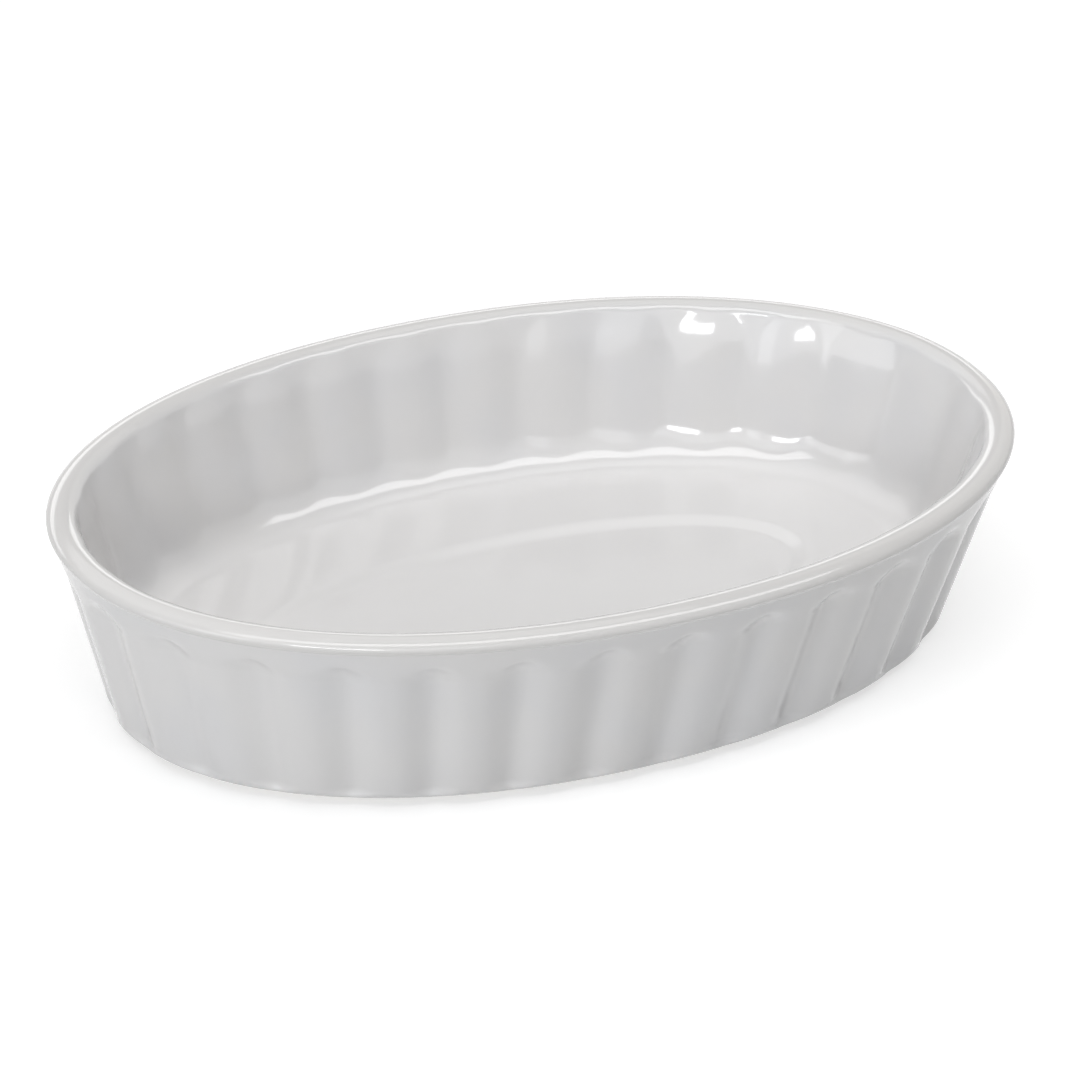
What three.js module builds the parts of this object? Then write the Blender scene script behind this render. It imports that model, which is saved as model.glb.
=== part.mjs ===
// Oval creme brulee dish of white glazed stoneware, in millimetres, with +Z up.
// The origin is the centre of the plane the dish stands on, and +X runs along its length.
import * as THREE from "three";

// Overall sizes, over the outside of the rim
const RIM_LENGTH = 133;
const RIM_WIDTH = 86;
const HEIGHT = 28.4;
// Power of the plan curve: 2 is an ellipse, and more is fuller towards a rectangle
const OVAL_FULLNESS = 2.08;

// Wall and rim: the rim is a flattened bead that stands out a little past the wall
const WALL_THICKNESS = 3.5;
const WALL_FLARE = THREE.MathUtils.degToRad(15.8);
const BEAD_HEIGHT = 2.4;
const BEAD_OVERHANG = 0.3;
const BAND_HEIGHT = 2.2;

// Floor, with the round cove where it meets the wall and the shallow well in its middle
const FLOOR_THICKNESS = 5.4;
const COVE_RADIUS = 6.8;
const WELL_WIDTH = 34;
const WELL_DEPTH = 0.5;
const WELL_EDGE_WIDTH = 1.6;

// Heel, foot ring, and the recess of the underside within the ring
const HEEL_RADIUS = 2.6;
const FOOT_HEIGHT = 0.9;
const FOOT_RING_WIDTH = 3.2;
const FOOT_SETBACK = 0.8;
const FOOT_EDGE_ROUND = 0.4;
const RECESS_DEPTH = 1.5;
const RECESS_SLOPE_WIDTH = 2.4;

// Flutes: scooped hollows outside, which show as bulges inside
const FLUTE_COUNT = 30;
const FLUTE_DEPTH = 1.4;
const RIDGE_SOFTNESS = 0.6;
const FLUTE_ARCH_HEIGHT = 3.2;
const FLUTE_TOE_HEIGHT = 1.4;
const BULGE_DEPTH = 0.6;
const GROOVE_SOFTNESS = 0.25;
const BULGE_ARCH_HEIGHT = 4.5;
const BULGE_TOE_HEIGHT = 3.6;
const BULGE_RIM_GAP = 0.3;

// Facets: columns across one flute, and columns round the rim and the floor
const FLUTE_FACETS = 6;
const RIM_COLUMNS = 120;
const FLOOR_COLUMNS = 90;
// Steps in which the girth is measured
const GIRTH_STEPS = 1440;

// Cross-section through the short axis: half width across, height up
const halfWidth = RIM_WIDTH / 2;
const lengthExtra = (RIM_LENGTH - RIM_WIDTH) / 2;
const recessHeight = FOOT_HEIGHT + RECESS_DEPTH;
const floorHeight = recessHeight + FLOOR_THICKNESS;
const sinFlare = Math.sin(WALL_FLARE);
const cosFlare = Math.cos(WALL_FLARE);

// Bead: an oval round, set so that it is as thick as the wall and its overhang together
const beadUp = BEAD_HEIGHT / 2;
const beadReach = (WALL_THICKNESS + BEAD_OVERHANG) / 2;
const beadOut = Math.sqrt(beadReach ** 2 - (beadUp * sinFlare) ** 2) / cosFlare;
const beadTurn = Math.atan2(beadUp * sinFlare, beadOut * cosFlare);
const beadCentre = new THREE.Vector2(halfWidth - beadOut, HEIGHT - beadUp);

// The inside of the wall touches the bead; the outside meets it in a crease
const innerAngle = Math.PI - beadTurn;
const creaseAngle = -beadTurn - Math.acos(1 - BEAD_OVERHANG / beadReach);
const onBead = (angle) =>
  new THREE.Vector2(beadCentre.x + beadOut * Math.cos(angle), beadCentre.y + beadUp * Math.sin(angle));
const innerTouch = onBead(innerAngle);
const crease = onBead(creaseAngle);
const innerAt = (height) => innerTouch.x - (innerTouch.y - height) * Math.tan(WALL_FLARE);
const outerAt = (height) => crease.x - (crease.y - height) * Math.tan(WALL_FLARE);

// Cove and heel are arcs that touch the wall and a level plane
const coveTop = floorHeight + COVE_RADIUS * (1 - sinFlare);
const coveCentre = new THREE.Vector2(innerAt(coveTop) - COVE_RADIUS * cosFlare, floorHeight + COVE_RADIUS);
const heelTop = FOOT_HEIGHT + HEEL_RADIUS * (1 - sinFlare);
const heelCentre = new THREE.Vector2(outerAt(heelTop) - HEEL_RADIUS * cosFlare, FOOT_HEIGHT + HEEL_RADIUS);

// Where the flutes and bulges run out, above along an arched end and below into the round
const bandBottom = crease.y - BAND_HEIGHT;
const flutes = {
  depth: FLUTE_DEPTH,
  soft: RIDGE_SOFTNESS,
  top: bandBottom,
  arch: FLUTE_ARCH_HEIGHT,
  low: heelTop,
  toe: FLUTE_TOE_HEIGHT,
};
const bulges = {
  depth: BULGE_DEPTH,
  soft: GROOVE_SOFTNESS,
  top: HEIGHT - BULGE_RIM_GAP,
  arch: BULGE_ARCH_HEIGHT,
  low: coveTop,
  toe: BULGE_TOE_HEIGHT,
};

// Depth of a scoop: a wave across with rounded ridges, run out along an arc at either end
function scoop(kind, height, phase) {
  const { soft } = kind;
  const across = (Math.hypot(Math.sin(Math.PI * phase), soft) - soft) / (Math.hypot(1, soft) - soft);
  const above = Math.max(0, (height - kind.top + kind.arch) / kind.arch);
  const below = Math.max(0, (kind.low - height) / kind.toe);
  return kind.depth * Math.max(0, across - above ** 2 - below ** 2);
}

// Plan curve: a direction for each angle, with ovals that keep one distance from each other
const powered = (value) => Math.sign(value) * Math.abs(value) ** (2 / OVAL_FULLNESS);
const wellHalf = WELL_WIDTH / 2 - WELL_EDGE_WIDTH;
const wellRatio = (wellHalf + lengthExtra) / wellHalf;
function planPoint(half, angle) {
  const halfLong = half > wellHalf ? half + lengthExtra : half * wellRatio;
  return new THREE.Vector2(halfLong * powered(Math.cos(angle)), half * powered(Math.sin(angle)));
}

// Angles that share out the girth of the wall in equal lengths
const girthHalf = outerAt((crease.y + heelTop) / 2);
const girthAngles = Array.from({ length: GIRTH_STEPS + 1 }, (_, i) => (i / GIRTH_STEPS) * 2 * Math.PI);
const girthSums = [0];
for (let i = 1; i < girthAngles.length; i += 1) {
  const step = planPoint(girthHalf, girthAngles[i]).distanceTo(planPoint(girthHalf, girthAngles[i - 1]));
  girthSums.push(girthSums[i - 1] + step);
}
function angleAt(share) {
  const goal = share * girthSums[girthSums.length - 1];
  let i = girthSums.findIndex((sum) => sum > goal);
  if (i < 1) i = girthSums.length - 1;
  const part = (goal - girthSums[i - 1]) / (girthSums[i] - girthSums[i - 1]);
  return THREE.MathUtils.lerp(girthAngles[i - 1], girthAngles[i], part);
}

// Columns: shares of the girth, in step with the flutes or not
const evenColumns = (count) => Array.from({ length: count }, (_, i) => i / count);
const flutedColumns = evenColumns(FLUTE_COUNT * FLUTE_FACETS);
const rimColumns = evenColumns(RIM_COLUMNS);
const floorColumns = evenColumns(FLOOR_COLUMNS);

// One row of a section: a half width and a height, its columns and its kind of scoop
const row = (half, height, columns, kind = null) => ({ half, height, columns, kind });
const arcRows = (centre, radius, from, to, steps, columns, kind = null) =>
  Array.from({ length: steps + 1 }, (_, i) => {
    const angle = THREE.MathUtils.lerp(from, to, i / steps);
    return row(centre.x + radius * Math.cos(angle), centre.y + radius * Math.sin(angle), columns, kind);
  });

// Closed body whose rows go round the section anticlockwise, seen from +Y with +X to the right
function ringBody(name, rows, closed, material) {
  const positions = [];
  const rings = rows.map(({ half, height, columns, kind }) => {
    const shares = half > 0 ? columns : [0];
    return shares.map((share) => {
      const inset = kind ? scoop(kind, height, (share * FLUTE_COUNT) % 1) : 0;
      const plan = planPoint(half - inset, angleAt(share));
      positions.push(plan.x, plan.y, height);
      return { share, index: positions.length / 3 - 1 };
    });
  });
  const faces = [];
  const bands = closed ? rings.length : rings.length - 1;
  for (let i = 0; i < bands; i += 1) bridge(rings[i], rings[(i + 1) % rings.length], faces);
  const geometry = new THREE.BufferGeometry();
  geometry.setAttribute("position", new THREE.Float32BufferAttribute(positions, 3));
  geometry.setIndex(faces);
  geometry.computeVertexNormals();
  const mesh = new THREE.Mesh(geometry, material);
  mesh.name = name;
  return mesh;
}

// Band of triangles between two rows, which may have different columns or be a single point
function bridge(first, second, faces) {
  const at = (ring, i) => ring[i % ring.length].index;
  const end = (ring, i) => (i + 1 < ring.length ? ring[i + 1].share : 1);
  const total = (ring) => (ring.length > 1 ? ring.length : 0);
  let a = 0;
  let b = 0;
  while (a < total(first) || b < total(second)) {
    const takeFirst = b === total(second) || (a < total(first) && end(first, a) <= end(second, b));
    if (takeFirst) {
      faces.push(at(first, a), at(first, a + 1), at(second, b));
      a += 1;
    } else {
      faces.push(at(first, a), at(second, b + 1), at(second, b));
      b += 1;
    }
  }
}

const glaze = (name) => new THREE.MeshStandardMaterial({ name, color: 0xf1f0ec, roughness: 0.15 });
const bareClay = new THREE.MeshStandardMaterial({ name: "bare clay", color: 0xe3dccd, roughness: 0.9 });

// Rim bead: rounded over the top, where the bulges of the inside run out, with a crease under it
const rimTop = Math.PI / 2;
const rimRow = (angle, columns, kind) => row(onBead(angle).x, onBead(angle).y, columns, kind);
const lipAngles = [creaseAngle, creaseAngle / 2, 0, rimTop / 3, (rimTop * 2) / 3, rimTop];
const mouthAngles = [1 / 3, 2 / 3, 1].map((share) => THREE.MathUtils.lerp(rimTop, innerAngle, share));
const rimBead = ringBody("rim_bead", [
  row(innerAt(crease.y), crease.y, flutedColumns, bulges),
  ...lipAngles.map((angle) => rimRow(angle, rimColumns)),
  ...mouthAngles.map((angle) => rimRow(angle, flutedColumns, bulges)),
], true, glaze("rim glaze"));

// Fluted wall, from the top of the cove to the crease under the bead
const fluteArch = bandBottom - FLUTE_ARCH_HEIGHT;
const bulgeArch = bulges.top - BULGE_ARCH_HEIGHT;
const archHeights = [0, 0.4, 0.7, 0.9, 1].map((share) => fluteArch + FLUTE_ARCH_HEIGHT * share);
const outsideHeights = [coveTop, ...archHeights, crease.y];
const insideHeights = [crease.y, (crease.y + bulgeArch) / 2, bulgeArch, coveTop];
const flutedWall = ringBody("fluted_wall", [
  ...outsideHeights.map((height) => row(outerAt(height), height, flutedColumns, flutes)),
  ...insideHeights.map((height) => row(innerAt(height), height, flutedColumns, bulges)),
], true, glaze("wall glaze"));

// Root of the wall, where its inside turns through the cove into the floor
const wallRoot = ringBody("wall_root", [
  row(outerAt(floorHeight), floorHeight, flutedColumns, flutes),
  row(outerAt(coveTop), coveTop, flutedColumns, flutes),
  ...arcRows(coveCentre, COVE_RADIUS, -WALL_FLARE, -Math.PI / 2, 5, flutedColumns, bulges),
], true, glaze("cove glaze"));

// Base: recessed underside, heel, and floor with its well
const footOuter = heelCentre.x - FOOT_SETBACK;
const footInner = footOuter - FOOT_RING_WIDTH;
const wellFloor = floorHeight - WELL_DEPTH;
const base = ringBody("base", [
  row(0, recessHeight, floorColumns),
  row(footInner - RECESS_SLOPE_WIDTH, recessHeight, floorColumns),
  row(footInner, FOOT_HEIGHT, floorColumns),
  ...arcRows(heelCentre, HEEL_RADIUS, -Math.PI / 2, -WALL_FLARE, 4, flutedColumns, flutes),
  row(outerAt(floorHeight), floorHeight, flutedColumns, flutes),
  row(WELL_WIDTH / 2, floorHeight, floorColumns),
  row(WELL_WIDTH / 2 - WELL_EDGE_WIDTH / 2, floorHeight - WELL_DEPTH / 2, floorColumns),
  row(wellHalf, wellFloor, floorColumns),
  row(0, wellFloor, floorColumns),
], false, glaze("floor glaze"));

// Foot ring, set back under the heel, with rounded lower edges
const outerRound = new THREE.Vector2(footOuter - FOOT_EDGE_ROUND, FOOT_EDGE_ROUND);
const innerRound = new THREE.Vector2(footInner + FOOT_EDGE_ROUND, FOOT_EDGE_ROUND);
const footRing = ringBody("foot_ring", [
  row(footInner, FOOT_HEIGHT, floorColumns),
  ...arcRows(innerRound, FOOT_EDGE_ROUND, -Math.PI, -Math.PI / 2, 2, floorColumns),
  ...arcRows(outerRound, FOOT_EDGE_ROUND, -Math.PI / 2, 0, 2, floorColumns),
  row(footOuter, FOOT_HEIGHT, floorColumns),
], true, bareClay);

const dish = new THREE.Group();
dish.name = "creme_brulee_dish";
dish.add(rimBead, flutedWall, wallRoot, base, footRing);
export default dish;
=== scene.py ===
# %% [markdown]
# # A fluted oval dish for creme brulee
#
# The real dish is one piece of pressed stoneware under a glossy white glaze. Its wall flares
# and carries thirty scooped flutes, its rim is a rounded bead, and it stands on a low ring of
# bare clay. This lesson builds the glazed skin and the bare foot from one Geometry Nodes tree
# that sweeps a cross-section round an oval, and finishes them with procedural materials.

import math

import bmesh
import bpy
from mathutils import Matrix, Vector


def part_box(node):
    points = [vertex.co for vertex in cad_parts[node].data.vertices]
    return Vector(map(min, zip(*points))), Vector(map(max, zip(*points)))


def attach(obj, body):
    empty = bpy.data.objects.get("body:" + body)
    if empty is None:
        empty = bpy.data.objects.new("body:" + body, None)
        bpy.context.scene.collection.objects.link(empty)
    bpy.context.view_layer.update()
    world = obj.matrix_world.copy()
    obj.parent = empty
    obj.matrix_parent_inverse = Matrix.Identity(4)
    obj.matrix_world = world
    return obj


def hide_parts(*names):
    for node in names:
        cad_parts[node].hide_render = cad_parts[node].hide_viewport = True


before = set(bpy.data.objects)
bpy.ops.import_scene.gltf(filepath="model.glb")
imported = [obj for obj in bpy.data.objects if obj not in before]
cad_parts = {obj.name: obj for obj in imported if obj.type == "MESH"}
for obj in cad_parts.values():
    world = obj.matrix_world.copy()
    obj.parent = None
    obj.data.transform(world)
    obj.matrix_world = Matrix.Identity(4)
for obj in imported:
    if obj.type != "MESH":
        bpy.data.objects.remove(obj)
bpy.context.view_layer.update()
print("solids loaded:", sorted(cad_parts))

# %% [markdown]
# ## Sizes
#
# The solids already know how long, wide and high the dish is, and where its floor, cove and
# foot lie, so those come from the boxes of the solids. What a box can't tell, such as the lean
# of the wall or the depth of a flute, is written here once, in metres.

# %% Sizes from the solids, and the few that a box can't tell
MM = 0.001

rim_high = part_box("rim_bead")[1]
foot_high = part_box("foot_ring")[1]

HALF_WIDTH = rim_high.y
LENGTH_EXTRA = rim_high.x - rim_high.y
HEIGHT = rim_high.z
COVE_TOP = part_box("fluted_wall")[0].z
FLOOR_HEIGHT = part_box("wall_root")[0].z
UNDERSIDE = foot_high.z
FOOT_OUTER = foot_high.y

OVAL_FULLNESS = 2.08
WALL_THICKNESS = 3.5 * MM
WALL_FLARE = math.radians(15.8)
BEAD_OVERHANG = 0.3 * MM
BEAD_HEIGHT = 2.4 * MM
CREASE_TURN = math.radians(9)
BAND_HEIGHT = 2.2 * MM
HEEL_RADIUS = 2.6 * MM
COVE_RADIUS = 6.8 * MM
WELL_HALF = 17 * MM
WELL_DEPTH = 0.5 * MM
WELL_EDGE = 3.2 * MM
FOOT_WIDTH = 3.2 * MM
FOOT_ROUND = 0.4 * MM
RECESS_DEPTH = 1.5 * MM
RECESS_SLOPE = 2.4 * MM

FLUTE_COUNT = 30
FLUTE_DEPTH = 1.4 * MM
FLUTE_ARCH = 3.2 * MM
FLUTE_TOE = 1.4 * MM
VALLEY_SOFTNESS = 0.6
BULGE_DEPTH = 0.6 * MM
BULGE_ARCH = 4.5 * MM
BULGE_TOE = 3.6 * MM
BULGE_RIM_GAP = 0.3 * MM
GROOVE_SOFTNESS = 0.25
SCOOP_SOFTNESS = 0.3

dish_size = (2 * (HALF_WIDTH + LENGTH_EXTRA), 2 * HALF_WIDTH, HEIGHT)
print("dish in mm:", [round(value / MM, 2) for value in dish_size])

# %% [markdown]
# ## Sums as nodes
#
# Both the shape and the finishes are rules, and a rule is easier to read as a sum than as a
# row of boxes. One class wraps the output of a node, so that an expression in Python adds the
# Math nodes by itself, and one method adds every other kind of node.

# %% A socket that joins in Python sums, and the maker that adds nodes
class Sock:
    """One output of a node. A sum with it adds a Math node to the same tree."""

    def __init__(self, maker, socket):
        self.maker = maker
        self.socket = socket

    def __add__(self, other):
        return self.maker.math("ADD", self, other)

    def __radd__(self, other):
        return self.maker.math("ADD", other, self)

    def __sub__(self, other):
        return self.maker.math("SUBTRACT", self, other)

    def __rsub__(self, other):
        return self.maker.math("SUBTRACT", other, self)

    def __mul__(self, other):
        return self.maker.math("MULTIPLY", self, other)

    def __rmul__(self, other):
        return self.maker.math("MULTIPLY", other, self)

    def __truediv__(self, other):
        return self.maker.math("DIVIDE", self, other)

    def __rtruediv__(self, other):
        return self.maker.math("DIVIDE", other, self)

    def __pow__(self, other):
        return self.maker.math("POWER", self, other)

    def __abs__(self):
        return self.maker.math("ABSOLUTE", self)


class Maker:
    """Adds nodes to one tree and feeds their sockets."""

    def __init__(self, tree):
        self.tree = tree

    def add(self, kind, settings=None, sockets=None, out=0):
        node = self.tree.nodes.new(kind)
        for name, value in (settings or {}).items():
            setattr(node, name, value)
        for name, value in (sockets or {}).items():
            self.feed(node.inputs[name], value)
        return Sock(self, node.outputs[out])

    def feed(self, slot, value):
        if isinstance(value, Sock):
            self.tree.links.new(value.socket, slot)
        else:
            slot.default_value = value

    def math(self, operation, *values):
        sockets = dict(enumerate(values))
        return self.add("ShaderNodeMath", {"operation": operation}, sockets)

    def above_zero(self, value, softness):
        """The larger of value and nothing, with the corner rounded off."""
        return (value + self.math("SQRT", value**2 + softness**2)) * 0.5


print("node maker ready")

# %% [markdown]
# ## The cross-section
#
# A potter would cut a template for this dish: underside, heel, flared wall, bead, inside wall,
# cove and floor. The template here is a chain of points across the short axis. Straight runs
# and arcs are stepped finely, so that the gloss has no facets. Each point also carries how far
# it belongs to the fluted outside or the bulging inside, and how thick or thin its glaze lies;
# the thick share on the cove and floor also carries painted light from above.

# %% Points of straight runs, arcs and soft corners
LEAN = Vector((math.sin(WALL_FLARE), math.cos(WALL_FLARE)))
OUTWARD = Vector((math.cos(WALL_FLARE), -math.sin(WALL_FLARE)))
QUARTER = math.pi / 2


def run(start, stop, steps):
    """Points from start towards stop, without stop itself."""
    return [start.lerp(stop, i / steps) for i in range(steps)]


def arc(centre, radius, start, stop, steps, squash=1.0):
    """Points along an arc, from the angle start towards stop, without stop itself."""
    angles = [start + (stop - start) * i / steps for i in range(steps)]
    return [centre + radius * Vector((math.cos(a), squash * math.sin(a))) for a in angles]


def bend(start, corner, stop, steps):
    """Points along a soft corner, from start towards stop, without stop itself."""
    shares = [i / steps for i in range(steps)]
    return [start.lerp(corner, t).lerp(corner.lerp(stop, t), t) for t in shares]


def soft_step(start, stop, steps):
    """Points along a soft S from one level to another, without stop itself."""
    shares = [i / steps for i in range(steps)]
    eased = [(1 - math.cos(math.pi * share)) / 2 for share in shares]
    across, rise = stop - start
    return [start + Vector((across * t, rise * e)) for t, e in zip(shares, eased)]


# %% The bead: a flattened round on top of the wall, with a crease under it
bead_up = BEAD_HEIGHT / 2
bead_reach = (WALL_THICKNESS + BEAD_OVERHANG) / 2
bead_rise = bead_up * math.sin(WALL_FLARE)
bead_out = math.sqrt(bead_reach**2 - bead_rise**2) / math.cos(WALL_FLARE)
bead_squash = bead_up / bead_out
bead_centre = Vector((HALF_WIDTH - bead_out, HEIGHT - bead_up))
bead_turn = math.atan2(bead_rise, bead_out * math.cos(WALL_FLARE))
crease_angle = -bead_turn - math.acos(1 - BEAD_OVERHANG / bead_reach)
inner_angle = math.pi - bead_turn


def on_bead(angle):
    """The point of the bead at an angle round its middle."""
    return bead_centre + Vector((bead_out * math.cos(angle), bead_up * math.sin(angle)))


crease = on_bead(crease_angle)
inner_top = on_bead(inner_angle)
print("crease under the bead at mm:", round(crease.y / MM, 2))

# %% Where the lines and arcs of the section meet
def outer_point(height):
    """The point at a height on the plain outside of the wall."""
    return Vector((crease.x - (crease.y - height) * math.tan(WALL_FLARE), height))


def inner_point(height):
    """The point at a height on the plain inside of the wall."""
    return Vector((inner_top.x - (inner_top.y - height) * math.tan(WALL_FLARE), height))


heel_top = UNDERSIDE + HEEL_RADIUS * (1 - math.sin(WALL_FLARE))
heel_centre = outer_point(heel_top) - OUTWARD * HEEL_RADIUS
cove_centre = inner_point(COVE_TOP) - OUTWARD * COVE_RADIUS
band_bottom = crease.y - BAND_HEIGHT
arch_foot = outer_point(band_bottom - FLUTE_ARCH)
bulge_top = HEIGHT - BULGE_RIM_GAP
bulge_foot = inner_point(bulge_top - BULGE_ARCH)
foot_inner = FOOT_OUTER - FOOT_WIDTH
foot_join = Vector((foot_inner, UNDERSIDE))
recess_edge = Vector((foot_inner - RECESS_SLOPE, UNDERSIDE + RECESS_DEPTH))
well_floor = FLOOR_HEIGHT - WELL_DEPTH
well_inner = WELL_HALF - WELL_EDGE
print("wall foot half width mm:", round(outer_point(UNDERSIDE).x / MM, 2))

# %% The soft corner between the wall and the bead
bead_start = crease_angle + CREASE_TURN
bead_foot = on_bead(bead_start)
slope = Vector((-bead_out * math.sin(bead_start), bead_up * math.cos(bead_start)))
into = (bead_foot - crease).dot(OUTWARD) / slope.dot(OUTWARD)
corner = bead_foot - slope * into
wall_top = corner - LEAN * (bead_foot - corner).length
print("soft corner mm:", round((bead_foot - wall_top).length / MM, 2))

# %% The chain of points, each with its share in the flutes, the bulges and the glaze
STEPS = {
    "recess": 3,
    "recess slope": 8,
    "foot": 2,
    "heel": 14,
    "wall": 10,
    "arch": 16,
    "band": 5,
    "crease": 8,
    "bead outside": 16,
    "bead inside": 14,
    "bulge arch": 16,
    "inside wall": 8,
    "cove": 14,
    "floor": 4,
    "well edge": 10,
    "well": 3,
}
NONE = (0, 0)
WHOLE = (1, 1)
THIN = (-1, -1)
section = []


def lay(points, outside=NONE, inside=NONE, glaze=NONE):
    """Adds points; each pair says how a share grows from the first point to the last."""
    pairs = (outside, inside, glaze)
    for i, point in enumerate(points):
        shares = [low + (high - low) * i / len(points) for low, high in pairs]
        section.append((point.x, point.y, *shares))


foot_edge = Vector((heel_centre.x, UNDERSIDE))
cove_foot = Vector((cove_centre.x, FLOOR_HEIGHT))
well_rim = Vector((WELL_HALF, FLOOR_HEIGHT))
well_foot = Vector((well_inner, well_floor))
well_middle = Vector((0, well_floor))

lay(run(Vector((0, recess_edge.y)), recess_edge, STEPS["recess"]))
lay(soft_step(recess_edge, foot_join, STEPS["recess slope"]))
lay(run(foot_join, foot_edge, STEPS["foot"]))
lay(arc(heel_centre, HEEL_RADIUS, -QUARTER, -WALL_FLARE, STEPS["heel"]), outside=WHOLE)
lay(run(outer_point(heel_top), arch_foot, STEPS["wall"]), outside=WHOLE)
lay(run(arch_foot, outer_point(band_bottom), STEPS["arch"]), outside=WHOLE)
lay(run(outer_point(band_bottom), wall_top, STEPS["band"]), outside=WHOLE)
lay(bend(wall_top, corner, bead_foot, STEPS["crease"]), glaze=(0, -1))
lay(arc(bead_centre, bead_out, bead_start, QUARTER, STEPS["bead outside"], bead_squash), glaze=THIN)
lay(
    arc(bead_centre, bead_out, QUARTER, inner_angle, STEPS["bead inside"], bead_squash),
    inside=(0, 1),
    glaze=(-1, 0),
)
lay(run(inner_top, bulge_foot, STEPS["bulge arch"]), inside=WHOLE)
lay(run(bulge_foot, inner_point(COVE_TOP), STEPS["inside wall"]), inside=WHOLE)
# The cove and floor get the thick glaze share, which whitens them: partly glaze pooling, partly
# painted light from above.
lay(
    arc(cove_centre, COVE_RADIUS, -WALL_FLARE, -QUARTER, STEPS["cove"]),
    inside=WHOLE,
    glaze=(0, 1),
)
lay(run(cove_foot, well_rim, STEPS["floor"]), glaze=WHOLE)
lay(soft_step(well_rim, well_foot, STEPS["well edge"]), glaze=WHOLE)
lay(run(well_foot, well_middle, STEPS["well"]), glaze=WHOLE)
lay([well_middle], glaze=WHOLE)
print("section points:", len(section))

# %% [markdown]
# ## From section to dish
#
# Geometry Nodes suit this shape because it follows a rule. A rail curve is bent into the oval
# and resampled in equal lengths, so that the flutes share out the girth as the mould's do. Curve
# to Mesh sweeps the section round the rail, and one Set Position then puts each point on its own
# oval and presses the scoops into the wall. Across, the flutes are a wave with round crests and
# tighter valleys. At its ends a scoop runs out along an arc, which is what gives the flutes their
# arched tops.

# %% The named sizes of the tree, and how finely it steps
RAIL_POINTS = 2880
COLUMNS_PER_FLUTE = 20
POLE_MERGE = 0.001 * MM
SIZES = {
    "Oval fullness": OVAL_FULLNESS,
    "Girth half width": outer_point((crease.y + heel_top) / 2).x,
    "Length extra": LENGTH_EXTRA,
    "Flute count": float(FLUTE_COUNT),
    "Flute softness": VALLEY_SOFTNESS,
    "Flute depth": FLUTE_DEPTH,
    "Flute top": band_bottom,
    "Flute arch": FLUTE_ARCH,
    "Flute low": heel_top,
    "Flute toe": FLUTE_TOE,
    "Bulge softness": GROOVE_SOFTNESS,
    "Bulge depth": BULGE_DEPTH,
    "Bulge top": bulge_top,
    "Bulge arch": BULGE_ARCH,
    "Bulge low": COVE_TOP,
    "Bulge toe": BULGE_TOE,
}
print("sizes of the tree:", len(SIZES))

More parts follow.
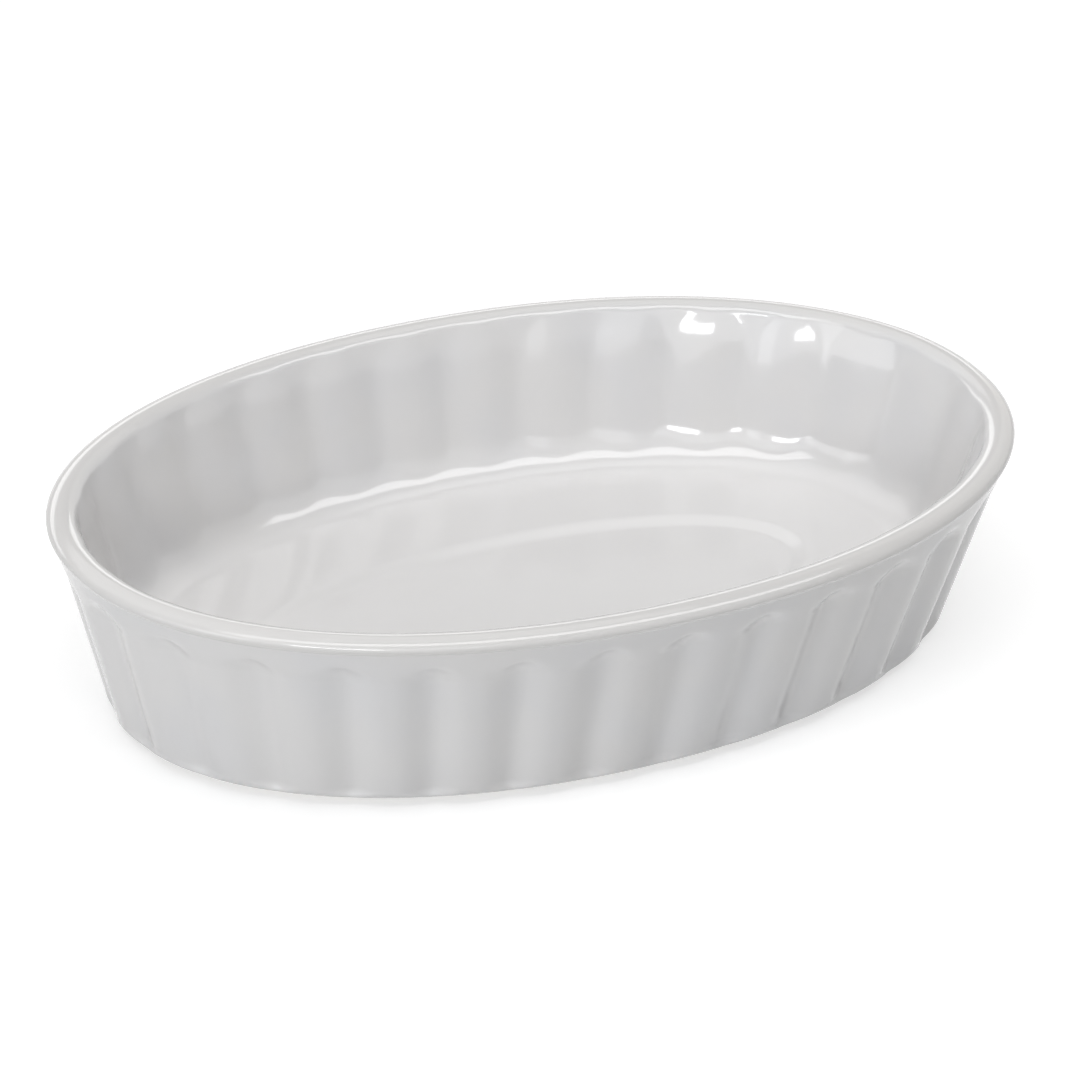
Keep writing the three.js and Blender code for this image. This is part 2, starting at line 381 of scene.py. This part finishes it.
# %% The tree that sweeps a section round the oval
def dish_tree(material):
    tree = bpy.data.node_groups.new("Fluted oval", "GeometryNodeTree")
    tree.interface.new_socket("Section", in_out="INPUT", socket_type="NodeSocketGeometry")
    for name in SIZES:
        tree.interface.new_socket(name, in_out="INPUT", socket_type="NodeSocketFloat")
    tree.interface.new_socket("Dish", in_out="OUTPUT", socket_type="NodeSocketGeometry")
    make = Maker(tree)
    given = tree.nodes.new("NodeGroupInput")
    size = {name: Sock(make, given.outputs[name]) for name in SIZES}

    def stored(name):
        return make.add("GeometryNodeInputNamedAttribute", {"data_type": "FLOAT"}, {"Name": name})

    def store(geometry, name, value):
        settings = {"data_type": "FLOAT", "domain": "POINT"}
        sockets = {"Geometry": geometry, "Name": name, "Value": value}
        return make.add("GeometryNodeStoreNamedAttribute", settings, sockets)

    def parts_of(vector):
        split = tree.nodes.new("ShaderNodeSeparateXYZ")
        make.feed(split.inputs[0], vector)
        return [Sock(make, output) for output in split.outputs]

    def joined(x, y, z):
        return make.add("ShaderNodeCombineXYZ", None, {"X": x, "Y": y, "Z": z})

    def moved(geometry, place):
        sockets = {"Geometry": geometry, "Position": place}
        return make.add("GeometryNodeSetPosition", None, sockets)

    # Rail: a circle pulled out to the oval, then stepped in equal lengths of girth
    position = make.add("GeometryNodeInputPosition")
    circle = make.add(
        "GeometryNodeCurvePrimitiveCircle",
        {"mode": "RADIUS"},
        {"Resolution": RAIL_POINTS, "Radius": 1.0},
    )
    east, north, _ = parts_of(position)
    full = 2.0 / size["Oval fullness"]
    east = make.math("SIGN", east) * abs(east) ** full
    north = make.math("SIGN", north) * abs(north) ** full
    girth_wide = size["Girth half width"]
    girth_long = girth_wide + size["Length extra"]
    oval = moved(circle, joined(east * girth_long, north * girth_wide, 0.0))
    columns = FLUTE_COUNT * COLUMNS_PER_FLUTE
    sockets = {"Curve": oval, "Count": columns}
    rail = make.add("GeometryNodeResampleCurve", {"mode": "COUNT"}, sockets)
    rail = store(rail, "share", make.add("GeometryNodeSplineParameter", out="Factor"))
    east, north, _ = parts_of(position)
    rail = store(rail, "east", east / girth_long)
    rail = store(rail, "north", north / girth_wide)

    # Sweep: every point of the section goes round the whole rail
    chain = Sock(make, given.outputs["Section"])
    chain = make.add("GeometryNodeMeshToCurve", None, {"Mesh": chain})
    sockets = {"Curve": rail, "Profile Curve": chain}
    swept = make.add("GeometryNodeCurveToMesh", None, sockets)

    # Scoops: a wave across, run out above along an arch and below into the round
    height = stored("height")
    phase = make.math("FRACT", stored("share") * size["Flute count"])

    def hump(swing, soft):
        """From nothing at a soft corner to one at a round top, as the swing goes from 0 to 1."""
        top = make.math("SQRT", soft**2 + 1.0) - soft
        return (make.math("SQRT", swing**2 + soft**2) - soft) / top

    wave = {
        "Flute": 1.0 - hump(make.math("COSINE", phase * math.pi), size["Flute softness"]),
        "Bulge": hump(make.math("SINE", phase * math.pi), size["Bulge softness"]),
    }

    def scoop(kind):
        """How far the wall is pressed in, from nothing to one."""
        over = (height - size[kind + " top"]) / size[kind + " arch"] + 1.0
        under = (size[kind + " low"] - height) / size[kind + " toe"]
        above = make.math("MAXIMUM", over, 0.0)
        below = make.math("MAXIMUM", under, 0.0)
        return make.above_zero(wave[kind] - above**2 - below**2, SCOOP_SOFTNESS)

    flute = stored("outside") * scoop("Flute")
    bulge = stored("inside") * scoop("Bulge")
    half = stored("half") - flute * size["Flute depth"] - bulge * size["Bulge depth"]
    place = joined((half + stored("extra")) * stored("east"), half * stored("north"), height)
    shaped = moved(swept, place)

    # Finish: close the poles, smooth the shading and set the material
    sockets = {"Geometry": shaped, "Distance": POLE_MERGE}
    shaped = make.add("GeometryNodeMergeByDistance", None, sockets)
    shaped = make.add("GeometryNodeSetShadeSmooth", None, {"Geometry": shaped})
    shaped = make.add("GeometryNodeRealizeInstances", None, {"Geometry": shaped})
    sockets = {"Geometry": shaped, "Material": material}
    shaped = make.add("GeometryNodeSetMaterial", None, sockets)
    result = tree.nodes.new("NodeGroupOutput")
    make.feed(result.inputs["Dish"], shaped)
    return tree


print("tree ready")

# %% A section as a mesh of edges, and the swept piece it becomes
def section_object(name, points, closed):
    """A chain of edges whose points carry what the tree reads."""
    mesh = bpy.data.meshes.new(name)
    edges = [(i, i + 1) for i in range(len(points) - 1)]
    if closed:
        edges.append((len(points) - 1, 0))
    mesh.from_pydata([(p[0], 0, p[1]) for p in points], edges, [])
    ratio = LENGTH_EXTRA / well_inner
    columns = {
        "half": [p[0] for p in points],
        "height": [p[1] for p in points],
        "extra": [LENGTH_EXTRA if p[0] > well_inner else p[0] * ratio for p in points],
        "outside": [p[2] for p in points],
        "inside": [p[3] for p in points],
        "glaze": [p[4] for p in points],
    }
    for key, values in columns.items():
        mesh.attributes.new(key, "FLOAT", "POINT").data.foreach_set("value", values)
    piece = bpy.data.objects.new(name, mesh)
    bpy.context.scene.collection.objects.link(piece)
    return piece


def sweep(piece, material):
    """Sweeps the piece's section round the oval and keeps the result as a plain mesh."""
    modifier = piece.modifiers.new("Sweep", "NODES")
    modifier.node_group = dish_tree(material)
    for item in modifier.node_group.interface.items_tree:
        if item.in_out == "INPUT" and item.name in SIZES:
            modifier[item.identifier] = SIZES[item.name]
    graph = bpy.context.evaluated_depsgraph_get()
    mesh = bpy.data.meshes.new_from_object(
        piece.evaluated_get(graph), preserve_all_data_layers=True, depsgraph=graph
    )
    piece.modifiers.clear()
    piece.data = mesh
    work = bmesh.new()
    work.from_mesh(mesh)
    bmesh.ops.recalc_face_normals(work, faces=work.faces)
    open_edges = sum(1 for edge in work.edges if len(edge.link_faces) != 2)
    volume = work.calc_volume() / (10 * MM) ** 3
    work.to_mesh(mesh)
    work.free()
    print(piece.name, "faces", len(mesh.polygons), "open edges", open_edges)
    print(piece.name, "volume cm3", round(volume, 2))


# %% [markdown]
# ## The glaze
#
# The glaze is a glassy white coat. It has run thin over the bead, where the greyer clay shows
# through, and gathered in pools on the floor, where it is whitest; that extra white is partly glaze
# and partly painted light, standing in for the light that falls on the floor from above. It has
# faint clouds of tone, a few specks of iron burnt out of the clay, and a surface that is not quite
# level, which bends the reflections. All of that is small: from a step away the dish is simply
# white and glossy.

# %% Helpers for the materials
def shader(name):
    """A new material with its node maker and its Principled shader."""
    material = bpy.data.materials.new(name)
    material.use_nodes = True
    make = Maker(material.node_tree)
    principled = material.node_tree.nodes["Principled BSDF"]
    return material, make, principled


def noise(make, place, scale, detail=2.0, roughness=0.5):
    """A soft random pattern in three dimensions."""
    sockets = {"Vector": place, "Scale": scale, "Detail": detail, "Roughness": roughness}
    return make.add("ShaderNodeTexNoise", {"noise_dimensions": "3D"}, sockets)


def tint(make, factor, low, high):
    """A colour between two, by a factor."""
    node = make.tree.nodes.new("ShaderNodeMix")
    node.data_type = "RGBA"
    make.feed(node.inputs["Factor"], factor)
    for slot, value in zip([s for s in node.inputs if s.type == "RGBA"], (low, high)):
        make.feed(slot, value)
    return Sock(make, next(s for s in node.outputs if s.type == "RGBA"))


def step_between(make, value, low, high):
    """Nothing below low, one above high, and a soft step between."""
    sockets = {"Value": value, "From Min": low, "From Max": high}
    return make.add("ShaderNodeMapRange", {"interpolation_type": "SMOOTHSTEP"}, sockets)


print("material helpers ready")

# %% White glaze
GLAZE = (0.76, 0.75, 0.745, 1)
GLAZE_CLOUD = (0.74, 0.735, 0.74, 1)
# Whiter glaze on the cove and floor: partly glaze pooling there, partly painted light standing in
# for the light from above.
GLAZE_POOLED_AND_LIT = (0.86, 0.85, 0.845, 1)
GLAZE_THIN = (0.72, 0.705, 0.69, 1)
IRON = (0.25, 0.17, 0.11, 1)

CLOUD_SCALE = 70.0
CLOUD_RANGE = (0.35, 0.7)
THIN_SHARE = 0.8
SPECK_CELLS = 160.0
SPECK_EDGE = (0.02, 0.05)
SPECK_SPREAD = 55.0
SPECK_RARITY = (0.74, 0.80)
SPECK_SHARE = 0.4
GLAZE_ROUGHNESS = 0.07
GLAZE_ROUGHER = 0.06
GLAZE_ROUGH_SCALE = 240.0
RIPPLE_SCALE = 160.0
RIPPLE_FINE_SCALE = 700.0
RIPPLE_FINE_SHARE = 0.25
RIPPLE_STRENGTH = 0.12
RIPPLE_HEIGHT = 0.3 * MM
GLAZE_IOR = 1.52
COAT_WEIGHT = 0.3
COAT_ROUGHNESS = 0.03


def white_glaze():
    material, make, principled = shader("white_glaze")
    place = make.add("ShaderNodeTexCoord", out="Object")
    coat = make.add("ShaderNodeAttribute", {"attribute_name": "glaze"}, out="Fac")
    clouds = step_between(make, noise(make, place, CLOUD_SCALE), *CLOUD_RANGE)
    # Painted light in part: the cove and floor are whitened for pooling glaze and also to stand in
    # for the light that falls on them from above.
    pooled_and_lit = step_between(make, coat, 0.0, 1.0)
    thin = step_between(make, 0.0 - coat, 0.0, 1.0) * THIN_SHARE
    colour = tint(make, clouds, GLAZE, GLAZE_CLOUD)
    colour = tint(make, pooled_and_lit, colour, GLAZE_POOLED_AND_LIT)
    colour = tint(make, thin, colour, GLAZE_THIN)
    sockets = {"Vector": place, "Scale": SPECK_CELLS}
    cells = make.add("ShaderNodeTexVoronoi", {"feature": "F1"}, sockets, out="Distance")
    rare = step_between(make, noise(make, place, SPECK_SPREAD, detail=0.0), *SPECK_RARITY)
    specks = (1.0 - step_between(make, cells, *SPECK_EDGE)) * rare
    colour = tint(make, specks * SPECK_SHARE, colour, IRON)
    make.feed(principled.inputs["Base Color"], colour)
    rougher = GLAZE_ROUGHER * noise(make, place, GLAZE_ROUGH_SCALE, detail=3.0)
    make.feed(principled.inputs["Roughness"], GLAZE_ROUGHNESS + rougher)
    fine = RIPPLE_FINE_SHARE * noise(make, place, RIPPLE_FINE_SCALE)
    ripple = noise(make, place, RIPPLE_SCALE, detail=1.0) + fine
    sockets = {"Strength": RIPPLE_STRENGTH, "Distance": RIPPLE_HEIGHT, "Height": ripple}
    make.feed(principled.inputs["Normal"], make.add("ShaderNodeBump", None, sockets))
    principled.inputs["IOR"].default_value = GLAZE_IOR
    principled.inputs["Coat Weight"].default_value = COAT_WEIGHT
    principled.inputs["Coat Roughness"].default_value = COAT_ROUGHNESS
    return material


# %% The glazed body
glazed_body = section_object("glazed_body", section, closed=False)
sweep(glazed_body, white_glaze())
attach(glazed_body, "root")
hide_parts("rim_bead", "fluted_wall", "wall_root", "base")

# %% [markdown]
# ## The bare foot
#
# Before firing, the potter wipes the glaze off the ring that the dish stands on, because glaze
# would stick to the kiln shelf. What is left is dry, warm and slightly sandy clay, rubbed a bit
# darker where it has stood on tables. The same tree sweeps its small section.

# %% Bare clay
CLAY = (0.66, 0.58, 0.46, 1)
CLAY_PALE = (0.74, 0.68, 0.57, 1)
CLAY_RUBBED = (0.45, 0.40, 0.33, 1)

GRAIN_SCALE = 400.0
GRAIN_RANGE = (0.35, 0.65)
RUB_SCALE = 90.0
RUB_RANGE = (0.5, 0.7)
RUB_SHARE = 0.35
CLAY_ROUGHNESS = 0.78
CLAY_ROUGHER = 0.15
CLAY_ROUGH_SCALE = 900.0
SAND_SCALE = 2600.0
SAND_STRENGTH = 0.5
SAND_HEIGHT = 0.1 * MM


def bare_clay():
    material, make, principled = shader("bare_clay")
    place = make.add("ShaderNodeTexCoord", out="Object")
    grain = step_between(make, noise(make, place, GRAIN_SCALE, detail=4.0), *GRAIN_RANGE)
    rubbed = step_between(make, noise(make, place, RUB_SCALE), *RUB_RANGE)
    colour = tint(make, grain, CLAY, CLAY_PALE)
    colour = tint(make, rubbed * RUB_SHARE, colour, CLAY_RUBBED)
    make.feed(principled.inputs["Base Color"], colour)
    rougher = CLAY_ROUGHER * noise(make, place, CLAY_ROUGH_SCALE, detail=3.0)
    make.feed(principled.inputs["Roughness"], CLAY_ROUGHNESS + rougher)
    sand = noise(make, place, SAND_SCALE, detail=4.0, roughness=0.7)
    sockets = {"Strength": SAND_STRENGTH, "Distance": SAND_HEIGHT, "Height": sand}
    make.feed(principled.inputs["Normal"], make.add("ShaderNodeBump", None, sockets))
    return material


# %% The foot ring
RING_ROUND_STEPS = 6
RING_FLAT_STEPS = 5
inner_round = Vector((foot_inner + FOOT_ROUND, FOOT_ROUND))
outer_round = Vector((FOOT_OUTER - FOOT_ROUND, FOOT_ROUND))
ring = [foot_join]
ring += arc(inner_round, FOOT_ROUND, -math.pi, -QUARTER, RING_ROUND_STEPS)
ring += run(Vector((inner_round.x, 0)), Vector((outer_round.x, 0)), RING_FLAT_STEPS)
ring += arc(outer_round, FOOT_ROUND, -QUARTER, 0, RING_ROUND_STEPS)
ring += [Vector((FOOT_OUTER, FOOT_ROUND)), Vector((FOOT_OUTER, UNDERSIDE))]
bare_foot = section_object("bare_foot", [(p.x, p.y, 0.0, 0.0, 0.0) for p in ring], closed=True)
sweep(bare_foot, bare_clay())
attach(bare_foot, "root")
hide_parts("foot_ring")

# %% [markdown]
# ## Floor and light
#
# The photograph shows the dish on plain white. The floor is pale and takes the soft shadow of the
# dish, and for the camera and in reflections it is lifted to white. The lamps follow what the
# glaze mirrors in the photograph: a soft ceiling, a long strip overhead that draws the bright
# line along the cove, a window at the front left that makes the bright spots on the far wall, a
# low lamp at the back that edges the rim, and soft fill from the left and the right.

# %% Floor
FLOOR_HALF = 2.0
FLOOR_PALE = (0.62, 0.62, 0.62, 1)
FLOOR_ROUGHNESS = 0.9
FLOOR_LIFT = 0.56
PURE_WHITE = (1, 1, 1, 1)
SEEN_RAYS = ("Is Camera Ray", "Is Glossy Ray", "Is Transmission Ray")


def seen_directly(make):
    """One for what the camera sees straight on, in a reflection or through glass, else nothing."""
    path = make.tree.nodes.new("ShaderNodeLightPath")
    camera_ray, glossy_ray, clear_ray = [Sock(make, path.outputs[name]) for name in SEEN_RAYS]
    return make.math("MINIMUM", camera_ray + glossy_ray + clear_ray, 1.0)


quadrants = ((-1, -1), (1, -1), (1, 1), (-1, 1))
floor_corners = [(x * FLOOR_HALF, y * FLOOR_HALF, 0) for x, y in quadrants]
floor_mesh = bpy.data.meshes.new("floor")
floor_mesh.from_pydata(floor_corners, [], [(0, 1, 2, 3)])
floor = bpy.data.objects.new("floor", floor_mesh)
bpy.context.scene.collection.objects.link(floor)
floor_material, make, principled = shader("pale_floor")
principled.inputs["Base Color"].default_value = FLOOR_PALE
principled.inputs["Roughness"].default_value = FLOOR_ROUGHNESS
principled.inputs["Emission Color"].default_value = PURE_WHITE
make.feed(principled.inputs["Emission Strength"], seen_directly(make) * FLOOR_LIFT)
floor_mesh.materials.append(floor_material)

# %% World and lamps
WORLD_LEVEL = 0.03

world = bpy.data.worlds.new("pale studio")
bpy.context.scene.world = world
world.use_nodes = True
make = Maker(world.node_tree)
background = world.node_tree.nodes["Background"]
background.inputs["Color"].default_value = PURE_WHITE
world_strength = WORLD_LEVEL + seen_directly(make) * (1.0 - WORLD_LEVEL)
make.feed(background.inputs["Strength"], world_strength)


def lamp(name, place, width, height, power, colour):
    """A rectangular soft lamp at a place, turned to the middle of the dish."""
    light = bpy.data.lights.new(name, "AREA")
    light.shape = "RECTANGLE"
    light.size = width
    light.size_y = height
    light.energy = power
    light.color = colour
    obj = bpy.data.objects.new(name, light)
    bpy.context.scene.collection.objects.link(obj)
    obj.location = place
    obj.rotation_euler = (-Vector(place)).to_track_quat("-Z", "Y").to_euler()


COOL = (0.97, 0.985, 1.0)
WARM = (1.0, 0.96, 0.9)
WHITE = (1.0, 1.0, 1.0)

# Name, place in metres, width and height in metres, power in watts, colour
LAMPS = [
    ("ceiling", (-0.1, 0.6, 1.1), 1.4, 1.2, 4.2, WHITE),
    ("strip", (0.0, -0.32, 1.19), 2.0, 0.42, 8.7, WHITE),
    ("front_left", (-0.77, -0.98, 0.52), 1.8, 0.9, 4.9, COOL),
    ("window", (-0.67, -0.994, 0.355), 0.44, 0.17, 2.5, COOL),
    ("left_low", (-1.1, -0.3, 0.25), 0.8, 0.5, 1.8, COOL),
    ("right_back", (0.9, 0.5, 0.5), 0.8, 0.8, 0.8, WARM),
    ("back", (0.1, 1.2, 0.44), 1.8, 0.25, 2.4, WHITE),
]
for row in LAMPS:
    lamp(*row)
print("lamps:", len(LAMPS))

# %% [markdown]
# ## Camera
#
# The viewing angle was found by laying the outline of the solids over the outline of the dish in
# the photograph: a long lens, about 29 degrees above the table, turned towards the left end, with
# a small roll. The lens is written as the photograph gives it, in pixels of its square frame.

# %% Camera at the photograph's angle
VIEW_AZIMUTH = math.radians(-28.43)
VIEW_ELEVATION = math.radians(28.93)
VIEW_ROLL = math.radians(2.39)
VIEW_DISTANCE = 0.8
VIEW_ACROSS = 1.08 * MM
VIEW_UP = 14.25 * MM
LENS_PIXELS = 6072.6
FRAME_PIXELS = 1080
SENSOR_WIDTH = 36
FAR_CLIP = 20

back = Vector(
    (
        math.sin(VIEW_AZIMUTH) * math.cos(VIEW_ELEVATION),
        -math.cos(VIEW_AZIMUTH) * math.cos(VIEW_ELEVATION),
        math.sin(VIEW_ELEVATION),
    )
)
level_right = Vector((0, 0, 1)).cross(back).normalized()
level_up = back.cross(level_right)
right = math.cos(VIEW_ROLL) * level_right + math.sin(VIEW_ROLL) * level_up
up = -math.sin(VIEW_ROLL) * level_right + math.cos(VIEW_ROLL) * level_up
camera = bpy.data.objects.new("camera", bpy.data.cameras.new("camera"))
bpy.context.scene.collection.objects.link(camera)
camera.matrix_world = Matrix((right, up, back)).transposed().to_4x4()
camera.location = right * VIEW_ACROSS + up * VIEW_UP + back * VIEW_DISTANCE
camera.data.sensor_width = SENSOR_WIDTH
camera.data.lens = SENSOR_WIDTH * LENS_PIXELS / FRAME_PIXELS
camera.data.clip_end = FAR_CLIP
bpy.context.scene.camera = camera
bpy.context.scene.view_settings.view_transform = "Standard"
print("camera at", [round(v, 4) for v in camera.location], "lens", round(camera.data.lens, 1))
